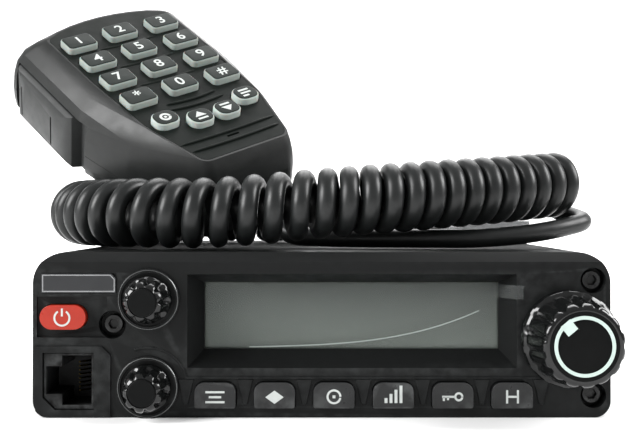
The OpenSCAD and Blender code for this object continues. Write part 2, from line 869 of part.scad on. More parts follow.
function spline_at(p0, p1, p2, p3, t) =
    0.5 * (2 * p1 + (p2 - p0) * t + (2 * p0 - 5 * p1 + 4 * p2 - p3) * t * t
           + (3 * p1 - p0 - 3 * p2 + p3) * t * t * t);

// Points of a smooth curve through the route, steps to each stretch
function smooth(route, steps) = [
    for (i = [0 : len(route) - 2], k = [0 : steps - 1])
        spline_at(route[max(i - 1, 0)], route[i], route[i + 1],
                  route[min(i + 2, len(route) - 1)], k / steps),
    route[len(route) - 1]
];

function unit(v) = v / norm(v);

// One closed tube swept along a path
module tube(path, r, sides) {
    n = len(path);
    rings = [
        for (i = [0 : n - 1])
            let (along = unit(path[min(i + 1, n - 1)] - path[max(i - 1, 0)]),
                 across = unit(cross(along, [0, 0, 1])),
                 up = cross(across, along))
            for (k = [0 : sides - 1])
                path[i] + r * (cos(360 * k / sides) * across + sin(360 * k / sides) * up)
    ];
    skin = [
        for (i = [0 : n - 2], k = [0 : sides - 1])
            let (a = i * sides + k, b = i * sides + (k + 1) % sides)
            [a, b, b + sides, a + sides]
    ];
    first = [for (k = [sides - 1 : -1 : 0]) k];
    last = [for (k = [0 : sides - 1]) (n - 1) * sides + k];
    polyhedron(points = rings, faces = concat(skin, [first], [last]), convexity = 8);
}

module cord_lead() {
    color("#1f2122") at_face() tube(smooth(concat([relief_tip], lead_route), 2), cord_d / 2, 8);
}

module cord_coil() {
    color("#1f2122") at_face() tube(smooth(coil_route, 2), coil_d / 2, 12);
}

module cord_tail() {
    color("#1f2122") at_face() tube(smooth(tail_route, 2), cord_d / 2, 8);
}

module mic_plug() {
    color("#5a6062") at_face() translate(plug_at) {
        rotate([0, 90, 0]) cylinder(h = 8, r = 2.6);
        box([6, -5.85, -2.6], [27, 5.85, 4]);
        // latch tongue
        box([8, -3, 4], [24, 3, 5.2]);
    }
}

// ---------- nodes ----------

chassis();
top_cover();
bottom_cover();
case_screws();
front_bezel();
panel_screws();
display_window();
display_film();
lcd_module();
badge_plate();
power_button();
key_1();
key_2();
key_3();
key_4();
key_5();
key_6();
volume_knob();
squelch_knob();
tuning_dial();
dial_ring();
rotary_controls();
mic_jack();
jack_contacts();
front_board();
main_board();
power_module();
speaker();
antenna_socket();
dc_inlet();
speaker_jack();
mic_front_shell();
mic_rear_shell();
mic_face_plate();
mic_board();
mic_capsule();
mic_screws();
hang_button();
ptt_button();
mic_key_1();
mic_key_2();
mic_key_3();
mic_key_4();
mic_key_5();
mic_key_6();
mic_key_7();
mic_key_8();
mic_key_9();
mic_key_10();
mic_key_11();
mic_key_12();
mic_key_13();
mic_key_14();
mic_key_15();
mic_key_16();
strain_relief();
cord_lead();
cord_coil();
cord_tail();
mic_plug();
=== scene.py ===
"""Looks of the mobile transceiver and its hand microphone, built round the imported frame."""
import json
import math

import bmesh
import bpy
from mathutils import Euler, Matrix, Vector


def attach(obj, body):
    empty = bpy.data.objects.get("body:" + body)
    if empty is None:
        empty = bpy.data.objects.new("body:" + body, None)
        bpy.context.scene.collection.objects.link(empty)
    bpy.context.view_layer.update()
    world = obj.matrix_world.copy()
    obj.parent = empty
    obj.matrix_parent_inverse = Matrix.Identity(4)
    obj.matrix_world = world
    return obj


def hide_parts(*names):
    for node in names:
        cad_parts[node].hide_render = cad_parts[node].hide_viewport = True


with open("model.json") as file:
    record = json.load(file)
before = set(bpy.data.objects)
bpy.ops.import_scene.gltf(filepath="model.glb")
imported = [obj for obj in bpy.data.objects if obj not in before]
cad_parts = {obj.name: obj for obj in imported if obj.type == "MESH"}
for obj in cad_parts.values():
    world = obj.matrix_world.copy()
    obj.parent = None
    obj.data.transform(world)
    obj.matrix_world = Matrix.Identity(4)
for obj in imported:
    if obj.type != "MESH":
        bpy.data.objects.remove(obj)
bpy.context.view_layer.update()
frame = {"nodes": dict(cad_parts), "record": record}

MM = 0.001
FACE = -62.5  # the panel's face plane, mm
NODES = frame["nodes"]


# ---------- camera ----------

def add_camera():
    data = bpy.data.cameras.new("camera")
    data.sensor_width = 36
    data.lens = 62.7
    data.shift_x = -5 / 640
    data.shift_y = -5 / 640
    data.clip_start = 0.01
    cam = bpy.data.objects.new("camera", data)
    cam.location = (0.0008, -0.3325, 0.0498)
    cam.rotation_euler = (math.radians(90), 0, 0)
    bpy.context.scene.collection.objects.link(cam)
    bpy.context.scene.camera = cam


add_camera()


# ---------- materials ----------

class Graph:
    """A material's nodes, with the few calls that the finishes below share."""

    def __init__(self, name):
        self.mat = bpy.data.materials.new(name)
        self.mat.use_nodes = True
        self.nodes = self.mat.node_tree.nodes
        self.bsdf = self.nodes["Principled BSDF"]
        self.place = self.add("ShaderNodeTexCoord").outputs["Object"]

    def add(self, kind, **settings):
        node = self.nodes.new(kind)
        for key, value in settings.items():
            setattr(node, key, value)
        return node

    def link(self, out, into):
        self.mat.node_tree.links.new(out, into)

    def noise(self, size_mm, detail=2.0, stretch=None):
        node = self.add("ShaderNodeTexNoise")
        node.inputs["Scale"].default_value = 1 / (size_mm * MM)
        node.inputs["Detail"].default_value = detail
        source = self.place
        if stretch:
            mapping = self.add("ShaderNodeMapping")
            mapping.inputs["Scale"].default_value = stretch
            self.link(source, mapping.inputs["Vector"])
            source = mapping.outputs["Vector"]
        self.link(source, node.inputs["Vector"])
        return node.outputs["Fac"]

    def spread(self, value, low, high, new_low=0.0, new_high=1.0):
        node = self.add("ShaderNodeMapRange")
        for socket, number in zip(("From Min", "From Max", "To Min", "To Max"),
                                  (low, high, new_low, new_high)):
            node.inputs[socket].default_value = number
        self.link(value, node.inputs["Value"])
        return node.outputs["Result"]

    def product(self, a, b):
        node = self.add("ShaderNodeMath", operation="MULTIPLY")
        self.link(a, node.inputs[0])
        self.link(b, node.inputs[1])
        return node.outputs[0]

    def mix(self, factor, a, b):
        node = self.add("ShaderNodeMix", data_type="RGBA")
        self.link(factor, node.inputs["Factor"])
        for socket, colour in ((node.inputs[6], a), (node.inputs[7], b)):
            if isinstance(colour, (tuple, list)):
                socket.default_value = colour
            else:
                self.link(colour, socket)
        return node.outputs[2]


def finish(name, colour, rough, metallic=0.0, grain=0.35, bump=0.15, vary=0.07, rough_vary=0.06,
           edge_wear_and_highlight=0.0, edge_wear_and_highlight_colour=(0.12, 0.125, 0.125, 1), coat=0.0, specular=0.12, stretch=None,
           subsurface=0.0, alpha=1.0):
    """A moulded, painted or plated surface: mottled colour, uneven gloss, fine grain, and lighter sharp
    edges that are partly rubbed wear and partly a painted edge highlight.
    """
    g = Graph(name)
    dark = tuple(c * (1 - vary) for c in colour[:3]) + (1,)
    light = tuple(min(1, c * (1 + vary)) for c in colour[:3]) + (1,)
    blotch = g.noise(2.5, 5)
    tint = g.mix(g.spread(blotch, 0.3, 0.7), dark, light)
    # Lighter colour in patches along sharp edges: partly rubbed wear, partly a painted edge highlight.
    if edge_wear_and_highlight:
        edge = g.spread(g.add("ShaderNodeNewGeometry").outputs["Pointiness"], 0.53, 0.62)
        patchy = g.product(edge, g.spread(g.noise(2.5, 4), 0.35, 0.65, 0, edge_wear_and_highlight))
        tint = g.mix(patchy, tint, edge_wear_and_highlight_colour)
    g.link(tint, g.bsdf.inputs["Base Color"])
    scuff = g.spread(g.noise(4, 5), 0.3, 0.7, max(0.02, rough - rough_vary), rough + rough_vary)
    g.link(scuff, g.bsdf.inputs["Roughness"])
    relief = g.add("ShaderNodeBump")
    relief.inputs["Strength"].default_value = bump
    relief.inputs["Distance"].default_value = grain * MM * 0.3
    g.link(g.noise(grain, 3, stretch), relief.inputs["Height"])
    g.link(relief.outputs["Normal"], g.bsdf.inputs["Normal"])
    for socket, value in (("Metallic", metallic), ("Coat Weight", coat), ("Specular IOR Level", specular),
                          ("Alpha", alpha), ("Subsurface Weight", subsurface)):
        g.bsdf.inputs[socket].default_value = value
    if coat:
        g.bsdf.inputs["Coat Roughness"].default_value = 0.08
    if subsurface:
        g.bsdf.inputs["Subsurface Scale"].default_value = 0.002
    return g.mat


def lcd_finish():
    """Unlit display: grey-green, with painted shade making it darker towards the top and lighter towards
    the bottom, and a faint row pattern.
    """
    g = Graph("lcd_glass")
    split = g.add("ShaderNodeSeparateXYZ")
    g.link(g.place, split.inputs[0])
    # Painted shade: the display's colour darkens from bottom to top.
    height = g.spread(split.outputs["Z"], 0.015, 0.033)
    rows = g.add("ShaderNodeTexWave", bands_direction="Z")
    rows.inputs["Scale"].default_value = 500
    g.link(g.place, rows.inputs["Vector"])
    bright = g.mix(rows.outputs["Fac"], (0.098, 0.114, 0.1, 1), (0.105, 0.122, 0.107, 1))
    tint = g.mix(height, bright, (0.04, 0.046, 0.042, 1))
    g.link(tint, g.bsdf.inputs["Base Color"])
    g.link(g.spread(rows.outputs["Fac"], 0, 1, 0.34, 0.4), g.bsdf.inputs["Roughness"])
    g.bsdf.inputs["Specular IOR Level"].default_value = 0.15
    return g.mat


BLACK = (0.0075, 0.008, 0.008)
# The edge wear settings below lighten sharp edges: partly rubbed wear, partly a painted edge highlight.
MATERIAL = {
    "cast_alloy": finish("cast_alloy", (0.014, 0.0145, 0.015), 0.5, grain=0.5, bump=0.3, edge_wear_and_highlight=0.6),
    "sheet_metal": finish("sheet_metal", (0.007, 0.0074, 0.0076), 0.62, grain=0.28, bump=0.35,
                          edge_wear_and_highlight=0.3, specular=0.05),
    "black_screw": finish("black_screw", (0.02, 0.02, 0.02), 0.3, 0.8, edge_wear_and_highlight=0.9, specular=0.5),
    "panel_plastic": finish("panel_plastic", BLACK, 0.4, grain=0.3, bump=0.18, edge_wear_and_highlight=0.35,
                            edge_wear_and_highlight_colour=(0.05, 0.053, 0.053, 1)),
    "clear_window": finish("clear_window", (0.5, 0.53, 0.51), 0.05, vary=0.02, bump=0.02,
                           rough_vary=0.02, alpha=0.02, specular=0.08),
    "film": finish("film", (0.75, 0.8, 0.78), 0.12, vary=0.05, bump=0.05, grain=6, alpha=0.025,
                   specular=0.08),
    "film_edge": finish("film_edge", (0.32, 0.36, 0.34), 0.3, vary=0.05, bump=0.05, grain=3),
    "film_tab": finish("film_tab", (0.7, 0.74, 0.72), 0.2, vary=0.05, bump=0.05, grain=3),
    "lcd": lcd_finish(),
    "badge_metal": finish("badge_metal", (0.05, 0.051, 0.053), 0.36, 0.9, vary=0.03, grain=0.2,
                          bump=0.12, stretch=(0.03, 1, 1)),
    "badge_edge": finish("badge_edge", (0.3, 0.305, 0.31), 0.3, 0.9, grain=0.2, bump=0.1),
    "button_red": finish("button_red", (0.33, 0.017, 0.005), 0.32, bump=0.08, vary=0.06, coat=0.15,
                         specular=0.3),
    "soft_key": finish("soft_key", (0.009, 0.0095, 0.0098), 0.32, bump=0.12, edge_wear_and_highlight=0.6,
                       edge_wear_and_highlight_colour=(0.07, 0.073, 0.073, 1), specular=0.35),
    "knob_gloss": finish("knob_gloss", (0.003, 0.0033, 0.0033), 0.14, bump=0.03, vary=0.2, coat=0.25,
                         rough_vary=0.04, specular=0.35),
    "knob_cap": finish("knob_cap", (0.005, 0.0053, 0.0053), 0.55, bump=0.2, specular=0.06),
    "ring_pale": finish("ring_pale", (0.5, 0.6, 0.56), 0.45, bump=0.1, vary=0.05),
    "control_metal": finish("control_metal", (0.5, 0.5, 0.5), 0.35, 1.0, specular=0.5),
    "collar_metal": finish("collar_metal", (0.1, 0.103, 0.103), 0.25, 1.0, bump=0.05, specular=0.5),
    "socket_black": finish("socket_black", (0.004, 0.004, 0.004), 0.35, bump=0.1, edge_wear_and_highlight=0.3),
    "contact_gold": finish("contact_gold", (0.2, 0.15, 0.06), 0.3, 1.0, bump=0.05, specular=0.5),
    "board_green": finish("board_green", (0.01, 0.09, 0.035), 0.3, vary=0.2, specular=0.4),
    "module_metal": finish("module_metal", (0.45, 0.46, 0.47), 0.35, 1.0, specular=0.5),
    "speaker_black": finish("speaker_black", (0.012, 0.012, 0.012), 0.7, bump=0.4),
    "nickel": finish("nickel", (0.55, 0.55, 0.55), 0.22, 1.0, bump=0.08, vary=0.05, specular=0.5),
    "mic_case": finish("mic_case", (0.016, 0.017, 0.0166), 0.36, grain=0.3, bump=0.25, specular=0.22),
    "ptt_plastic": finish("ptt_plastic", (0.024, 0.0253, 0.0249), 0.42, grain=0.3, bump=0.2,
                          specular=0.2),
    "mic_face": finish("mic_face", (0.0065, 0.0085, 0.0074), 0.46, grain=0.25, bump=0.12,
                       specular=0.07),
    "keypad_rubber": finish("keypad_rubber", (0.24, 0.27, 0.25), 0.42, bump=0.08, vary=0.06,
                            subsurface=0.2),
    "menu_rubber": finish("menu_rubber", (0.36, 0.4, 0.375), 0.42, bump=0.08, vary=0.06,
                          subsurface=0.2),
    "key_top": finish("key_top", (0.0115, 0.0155, 0.0135), 0.42, bump=0.12, specular=0.1),
    "print_white": finish("print_white", (0.5, 0.525, 0.51), 0.5, bump=0.05, vary=0.05),
    "cord_rubber": finish("cord_rubber", (0.01, 0.011, 0.011), 0.36, grain=0.5, bump=0.12, vary=0.1,
                          specular=0.34),
    "plug_plastic": finish("plug_plastic", (0.1, 0.105, 0.11), 0.18, bump=0.05, alpha=0.75,
                           specular=0.4),
}


# ---------- shared making ----------

def put(name, mesh, body, slot, material=None, replaces=(), bevel=0.0, segments=2, smooth=35):
    """Links a finished mesh, in metres in the row frame, as a piece that rides on a body."""
    piece = bpy.data.objects.new(name, mesh)
    bpy.context.scene.collection.objects.link(piece)
    mesh.materials.clear()
    mesh.materials.append(MATERIAL[material or slot])
    mesh.shade_smooth()
    mesh.set_sharp_from_angle(angle=math.radians(smooth))
    if bevel:
        mod = piece.modifiers.new("edges", "BEVEL")
        mod.width = bevel * MM
        mod.segments = segments
        mod.limit_method = "ANGLE"
        mod.angle_limit = math.radians(28)
        mod.harden_normals = True
    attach(piece, body)
    if replaces:
        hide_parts(*replaces)
    return piece


def from_lists(name, verts, faces, matrix=None):
    """A mesh from points in mm."""
    mesh = bpy.data.meshes.new(name)
    mesh.from_pydata([Vector(v) * MM for v in verts], [], faces)
    if matrix:
        mesh.transform(matrix)
    mesh.validate()
    work = bmesh.new()
    work.from_mesh(mesh)
    bmesh.ops.recalc_face_normals(work, faces=work.faces)
    work.to_mesh(mesh)
    work.free()
    return mesh


SLOT = {s["node"]: s["material_slot"] for s in frame["record"]["subparts"]}
BODY = {n: b for b, ns in frame["record"]["behaviour"]["bodies"].items() for n in ns}


def skin(node, bevel=0.3, segments=2, material=None, smooth=35):
    """A copy of a CAD node with its flat facets joined, its edges rounded and a full finish."""
    mesh = NODES[node].data.copy()
    work = bmesh.new()
    work.from_mesh(mesh)
    bmesh.ops.remove_doubles(work, verts=work.verts, dist=2e-6)
    bmesh.ops.dissolve_limit(work, angle_limit=math.radians(1), verts=work.verts, edges=work.edges)
    work.to_mesh(mesh)
    work.free()
    return put(node + "_skin", mesh, BODY[node], SLOT[node], material, (node,), bevel, segments, smooth)


def prism(name, outline, low, high, place):
    """A solid from an outline of (u, v) points in mm, between two depths; place maps (u, v, d)."""
    n = len(outline)
    verts = [place(u, v, low) for u, v in outline] + [place(u, v, high) for u, v in outline]
    faces = [tuple(range(n)), tuple(range(2 * n - 1, n - 1, -1))]
    faces += [(i, i + n, (i + 1) % n + n, (i + 1) % n) for i in range(n)]
    return from_lists(name, verts, faces)


def on_panel(u, v, d):
    """Panel coordinates: x, z, and depth behind the face."""
    return (u, FACE + d, v)


# The handset's own frame: where its face's middle stands, and its turn in degrees
MIC_AT = Vector((-63.6, 74.3 + FACE, 105.3))
MIC_TURN = (35.4, -18.1, 36.7)
MIC = Matrix.Translation(MIC_AT * MM) @ Euler([math.radians(a) for a in MIC_TURN]).to_matrix().to_4x4()
MIC_END = (0, -73.5, -15.5)  # middle of the cord end


def round_outline(w, h, r, steps=6, at=(0, 0)):
    """Rounded rectangle centred on at, counter-clockwise."""
    points = []
    for cx, cy, start in ((1, 1, 0), (-1, 1, 90), (-1, -1, 180), (1, -1, 270)):
        for k in range(steps + 1):
            a = math.radians(start + 90 * k / steps)
            points.append((at[0] + cx * (w / 2 - r) + r * math.cos(a),
                           at[1] + cy * (h / 2 - r) + r * math.sin(a)))
    return points


def loft(name, rings, matrix=None):
    """Closed solid through rings of the same count of points."""
    n = len(rings[0])
    verts = [p for ring in rings for p in ring]
    faces = [tuple(range(n - 1, -1, -1)), tuple(range((len(rings) - 1) * n, len(rings) * n))]
    for i in range(len(rings) - 1):
        for k in range(n):
            a, b = i * n + k, i * n + (k + 1) % n
            faces.append((a, b, b + n, a + n))
    return from_lists(name, verts, faces, matrix)


# ---------- the cord ----------

COIL = [
    (66, 44, 57.5), (58, 37, 56.8), (45, 28.5, 55.6), (30, 21.5, 54.4), (15, 17, 53.2), (0, 15, 52),
    (-15, 15, 50.6), (-30, 15.5, 49.6), (-45, 19, 49.6), (-57, 28, 49.6), (-66, 41, 49.6),
    (-69, 55, 49.6), (-66, 69, 49.6), (-56, 81, 49.6), (-40, 87, 49.6), (-22, 89, 49.6), (-2, 89, 49.6),
]
LEAD = [
    (-11.3, 36.7, 45.8), (-8, 33.9, 43.4), (-1, 32, 43), (6, 29.5, 42.8), (16, 27, 42.8),
    (28, 25, 42.8), (40, 25, 42.8), (52, 26.8, 43.6), (62, 30, 45), (69, 34, 46.4), (72, 37.5, 47.2),
    (71, 41.5, 48.1), (67.5, 45.2, 49.6), (64, 48, 52), (61.7, 48.8, 55.8),
]
TAIL = [
    (-4.8, 95.4, 51.7), (-3.2, 96.4, 47.9), (1.2, 95, 45.3), (8, 91.4, 44.2), (15.8, 87.2, 43.7),
    (22, 84.6, 43.2), (29.5, 82, 43), (37, 80.5, 43),
]
LEAD_TURN = 10  # points of the lead before it turns up into the coil
TAIL_TURN = 5  # first point of the tail after it has left the coil
CORD_R = 2.5
HELIX_R = 6.7  # the cord's middle line, from the coil's axis
HELIX_START = math.radians(345)
PITCH = 5.15
OPEN_AT, OPEN_SPAN, OPEN_MORE = 93, 20, 1.5  # where along the coil the turns stand wider, and by how much
PITCH_LEAST = 5.05  # on the inside of a bend, so that turns don't touch
STEP = 0.2
REACH = 20  # steps each way over which the coil's direction is taken
CUT = 14  # steps left off the coil's end for the turn into the tail


def spline(route, steps):
    """The same smooth curve that the CAD solid follows."""
    pts = [Vector(p) for p in route]
    out = []
    for i in range(len(pts) - 1):
        p0, p1, p2 = pts[max(i - 1, 0)], pts[i], pts[i + 1]
        p3 = pts[min(i + 2, len(pts) - 1)]
        for k in range(steps):
            t = k / steps
            out.append(0.5 * (2 * p1 + (p2 - p0) * t + (2 * p0 - 5 * p1 + 4 * p2 - p3) * t * t
                              + (3 * p1 - p0 - 3 * p2 + p3) * t ** 3))
    return out + [pts[-1]]


def even(points, gap):
    """The same line with its points a steady gap apart."""
    out, left = [points[0].copy()], gap
    for a, b in zip(points, points[1:]):
        length = (b - a).length
        at = left
        while at <= length:
            out.append(a.lerp(b, at / length))
            at += gap
        left = at - length
    return out


def helix():
    """Turns of the coiled stretch, wound about the coil's axis and opening out where it bends."""
    axis = even(spline(COIL, 24), STEP)
    total = len(axis)
    out, turn = [], HELIX_START
    for i, centre in enumerate(axis):
        a, b = axis[max(i - REACH, 0)], axis[min(i + REACH, total - 1)]
        along = (b - a).normalized()
        bend = 0.0
        if REACH <= i < total - REACH:
            bend = ((b - centre).normalized() - (centre - a).normalized()).length / (REACH * STEP)
        pitch = PITCH + OPEN_MORE * math.exp(-((i * STEP - OPEN_AT) / OPEN_SPAN) ** 4)
        pitch = max(pitch, PITCH_LEAST / max(0.6, 1 - HELIX_R * bend))
        turn += 2 * math.pi * STEP / pitch if i else 0
        side = along.cross(Vector((0, 0, 1))).normalized()
        up = side.cross(along)
        out.append(centre + HELIX_R * (side * math.cos(turn) + up * math.sin(turn)))
    return out[:-CUT]


def turn_into(before, after, reach_before, reach_after):
    """A smooth turn from the end of one line to the start of the next, along both of them."""
    a, d = before[-1], after[0]
    b = a + (a - before[-2]).normalized() * reach_before
    c = d - (after[1] - d).normalized() * reach_after
    steps = 60
    return [a * (1 - t) ** 3 + 3 * b * t * (1 - t) ** 2 + 3 * c * t * t * (1 - t) + d * t ** 3
            for t in (k / steps for k in range(1, steps))]


def make_cord():
    lead = spline(LEAD[:LEAD_TURN], 24)
    coil = helix()
    tail = spline(TAIL[TAIL_TURN:], 24)
    line = lead + turn_into(lead, coil, 10.8, 8) + coil + turn_into(coil, tail, 10, 13) + tail
    line = even(line, 1.9)
    if (line[-1] - tail[-1]).length > 0.6:
        line.append(tail[-1])
    for p in line:
        p.y += FACE
    curve = bpy.data.curves.new("curly_cord", "CURVE")
    curve.dimensions = "3D"
    curve.bevel_depth = CORD_R * MM
    curve.bevel_resolution = 5
    curve.use_fill_caps = True
    curve.resolution_u = 2
    path = curve.splines.new("NURBS")
    path.points.add(len(line) - 1)
    for point, p in zip(path.points, line):
        point.co = (*(p * MM), 1)
    path.use_endpoint_u = True
    path.order_u = 3
    curve.materials.append(MATERIAL["cord_rubber"])
    cord = bpy.data.objects.new("curly_cord", curve)
    bpy.context.scene.collection.objects.link(cord)
    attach(cord, "microphone")
    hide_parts("cord_lead", "cord_coil", "cord_tail")
    length = sum((b - a).length for a, b in zip(line, line[1:])) * MM
    return cord, line[0] * MM, length


cord, cord_exit, cord_length = make_cord()


def spun(name, profile, centre, axis, body, slot, material=None, replaces=(), sides=48, smooth=30):
    """A turned piece: profile is (distance along the axis, radius) in mm."""
    axis = Vector(axis).normalized()
    side = axis.cross(Vector((0.3, 0.2, 1))).normalized()
    up = axis.cross(side)
    rings = []
    for d, r in profile:
        rings.append([Vector(centre) + axis * d + r * (side * math.cos(2 * math.pi * k / sides)
                                                       + up * math.sin(2 * math.pi * k / sides))
                      for k in range(sides)])
    return put(name, loft(name, rings), body, slot, material, replaces, smooth=smooth)


def make_strain_relief():
    """Ribbed taper where the cord leaves the handset."""
    to_world = lambda p: (MIC @ (Vector(p) * MM)) / MM
    root = to_world(MIC_END)
    out = (MIC.to_3x3() @ Vector((0, -1, 0))).normalized()
    profile = [(-4.4, 2.6), (-4.4, 4.3), (-3.5, 4.3), (-3.5, 3.4), (0.2, 3.4), (0.2, 4.5), (1.2, 4.6)]
    for k in range(6):
        d = 1.4 + 1.8 * k
        r = 4.55 - 0.2 * k
        profile += [(d, r), (d + 0.9, r - 0.1), (d + 1.05, r - 0.75), (d + 1.65, r - 0.8)]
    profile += [(12.4, 3.2), (12.7, 2.9), (12.75, 2.0)]
    return spun("strain_relief_boot", profile, root, out, "microphone", "cord_rubber",
                replaces=("strain_relief",))


boot = make_strain_relief()
plug = skin("mic_plug", 0.25)


# ---------- radio ----------

for node, width in (("chassis", 0.3), ("top_cover", 0.25), ("bottom_cover", 0.25), ("front_bezel", 0.3),
                    ("mic_jack", 0.15), ("badge_plate", 0.12), ("lcd_module", 0.1),
                    ("display_window", 0.1), ("rotary_controls", 0.1), ("main_board", 0.1),
                    ("power_module", 0.15), ("speaker", 0.1), ("dc_inlet", 0.25),
                    ("speaker_jack", 0.15), ("jack_contacts", 0.05), ("front_board", 0.1)):
    skin(node, width)
skin("power_button", 0.45, 3)
for i in range(1, 7):
    skin(f"key_{i}", 0.5, 3)
for node in ("panel_screws", "case_screws"):
    skin(node, 0.15)


def ring_band(name, at, r_out, r_in, low, high, start=0, sweep=360, material="panel_plastic",
              slot="panel_plastic"):
    """A raised ring or arc on the panel."""
    steps = max(12, int(sweep / 5))
    closed = sweep >= 360
    sections = []
    for k in range(steps + (0 if closed else 1)):
        a = math.radians(start + sweep * k / steps)
        c, s = math.cos(a), math.sin(a)
        sections.append([on_panel(at[0] + r * c, at[1] + r * s, d)
                         for r, d in ((r_in, high), (r_in, low + 0.1), (r_in + 0.1, low),
                                      (r_out - 0.1, low), (r_out, low + 0.1), (r_out, high))])
    m = len(sections[0])
    verts = [p for sec in sections for p in sec]
    faces = []
    count = len(sections)
    for i in range(count if closed else count - 1):
        j = (i + 1) % count
        for k in range(m):
            faces.append((i * m + k, i * m + (k + 1) % m, j * m + (k + 1) % m, j * m + k))
    if not closed:
        faces += [tuple(range(m)), tuple(range(count * m - 1, (count - 1) * m - 1, -1))]
    return put(name, from_lists(name, verts, faces), "radio", slot, material)


VOLUME, SQUELCH, DIAL = (-41.9, 28.6), (-42.1, 7.4), (59.5, 19.4)
for name, at in (("volume", VOLUME), ("squelch", SQUELCH)):
    ring_band(name + "_collar_ring", at, 7.3, 6.95, -1.3, -0.6, material="collar_metal",
              slot="control_metal")
ring_band("squelch_arc", SQUELCH, 9.8, 9.3, -0.35, 0.3, -15, 125)

# teeth between the soft keys, hanging from a ridge along their top
KEY_X0, KEY_PITCH = -25.7, 14.33
for i in range(-1, 6):
    x = KEY_X0 + (i + 0.5) * KEY_PITCH
    tooth = [(x - 1.9, 9.3), (x - 0.5, 3.2), (x + 0.5, 3.2), (x + 1.9, 9.3)]
    mesh = prism(f"key_tooth_{i + 1}", tooth, -0.4, 0.2, on_panel)
    put(f"key_tooth_{i + 1}", mesh, "radio", "panel_plastic", bevel=0.15)
ridge = [(-33, 9.4), (53, 9.4), (53, 9.9), (-33, 9.9)]
put("key_ridge", prism("key_ridge", ridge, -0.45, 0.2, on_panel), "radio", "panel_plastic", bevel=0.15)


def fluted(name, at, stations, flutes, body, slot, node, sides=160):
    """A fluted knob on the panel: stations are (depth, radius, flute depth)."""
    rings = []
    for d, r, cut in stations:
        ring = []
        for k in range(sides):
            a = 2 * math.pi * k / sides
            wave = 0.5 + 0.5 * math.cos(flutes * a)
            rr = r - cut * wave ** 3
            ring.append(on_panel(at[0] + rr * math.cos(a), at[1] + rr * math.sin(a), d))
        rings.append(ring)
    return put(name, loft(name, rings), body, slot, replaces=(node,), smooth=40)


for name, at in (("volume", VOLUME), ("squelch", SQUELCH)):
    fluted(name + "_grip", at, [(9, 2.9, 0), (-0.4, 2.9, 0), (-0.5, 5.5, 0), (-0.8, 5.7, 0), (-2.6, 5.7, 0),
                                (-3.0, 5.4, 0.1), (-3.3, 5.2, 0.7), (-8.2, 4.9, 0.85), (-9.2, 4.5, 0.7),
                                (-9.7, 3.9, 0.2), (-9.9, 3.5, 0), (-9.6, 3.3, 0)], 9, name,
           "knob_gloss", name + "_knob")
    spun(name + "_cap", [(0, 3.25), (0.3, 3.25), (0.4, 3.1), (0.4, 0.05)],
         on_panel(at[0], at[1], -9.55), (0, -1, 0), name, "knob_gloss", "knob_cap")
fluted("dial_grip", DIAL, [(9, 2.9, 0), (-0.5, 2.9, 0), (-0.6, 11.3, 0), (-0.9, 11.6, 0), (-4.2, 11.6, 0),
                           (-4.6, 11.3, 0.1), (-5.0, 10.8, 0.5), (-12, 10.1, 0.9), (-16.6, 9.7, 0.9),
                           (-17.6, 9.45, 0.5), (-18.2, 9.0, 0.05), (-18.45, 8.4, 0), (-18.4, 8.0, 0)],
       15, "dial", "knob_gloss", "tuning_dial", 240)
spun("dial_cap", [(0, 7.95), (0.1, 7.95), (0.14, 7.8), (0.14, 0.05)], on_panel(*DIAL, -18.35), (0, -1, 0),
     "dial", "knob_gloss", "knob_cap", sides=96)
skin("dial_ring", 0.05)


# ---------- marks on the buttons ----------

def flat_mark(name, outlines, low, high, place, body, slot, material="print_white"):
    """Thin printed shapes, each a closed outline."""
    verts, faces = [], []
    for outline in outlines:
        n, base = len(outline), len(verts)
        verts += [place(u, v, low) for u, v in outline] + [place(u, v, high) for u, v in outline]
        faces += [tuple(range(base, base + n)), tuple(range(base + 2 * n - 1, base + n - 1, -1))]
        faces += [(base + i, base + i + n, base + (i + 1) % n + n, base + (i + 1) % n)
                  for i in range(n)]
    return put(name, from_lists(name, verts, faces), body, slot, material)


def arc_band(at, r_out, r_in, start, sweep, steps=24):
    """Outline of a flat ring's arc."""
    angles = [math.radians(start + sweep * k / steps) for k in range(steps + 1)]
    return ([(at[0] + r_out * math.cos(a), at[1] + r_out * math.sin(a)) for a in angles]
            + [(at[0] + r_in * math.cos(a), at[1] + r_in * math.sin(a)) for a in reversed(angles)])


def bar(x, z, w, h):
    return [(x - w / 2, z - h / 2), (x + w / 2, z - h / 2), (x + w / 2, z + h / 2), (x - w / 2, z + h / 2)]


POWER = (-62.7, 24.2)
flat_mark("power_symbol", [arc_band(POWER, 2.05, 1.6, 122, 296), bar(POWER[0], POWER[1] + 1.35, 0.45, 1.9)],
          -1.04, -0.9, on_panel, "power_button", "button_red")

ICONS = [
    lambda x: [bar(x, 6.4, 4.6, 0.5), bar(x, 5.2, 3.0, 0.5), bar(x, 4.0, 4.6, 0.5)],
    lambda x: [[(x - 2.2, 5.2), (x, 3.6), (x, 6.8)], [(x + 2.2, 5.2), (x, 6.8), (x, 3.6)]],
    lambda x: [arc_band((x, 5.3), 1.8, 1.3, 0, 350), bar(x, 5.3, 0.7, 0.7)],
    lambda x: [bar(x - 1.8, 4.4, 0.7, 1.2), bar(x - 0.6, 4.9, 0.7, 2.2), bar(x + 0.6, 5.4, 0.7, 3.2),
               bar(x + 1.8, 5.9, 0.7, 4.2)],
    lambda x: [arc_band((x + 1.4, 5.3), 1.1, 0.6, 0, 350), bar(x - 1.1, 5.3, 3.0, 0.5),
               bar(x - 2.2, 4.8, 0.5, 1.0), bar(x - 1.2, 4.9, 0.5, 0.8)],
    lambda x: [bar(x - 1.3, 5.3, 0.5, 3.2), bar(x + 1.3, 5.3, 0.5, 3.2), bar(x, 5.3, 2.2, 0.5)],
]
for i, icon in enumerate(ICONS):
    flat_mark(f"key_icon_{i + 1}", icon(KEY_X0 + i * KEY_PITCH), -1.64, -1.5, on_panel, f"key_{i + 1}",
              "soft_key")


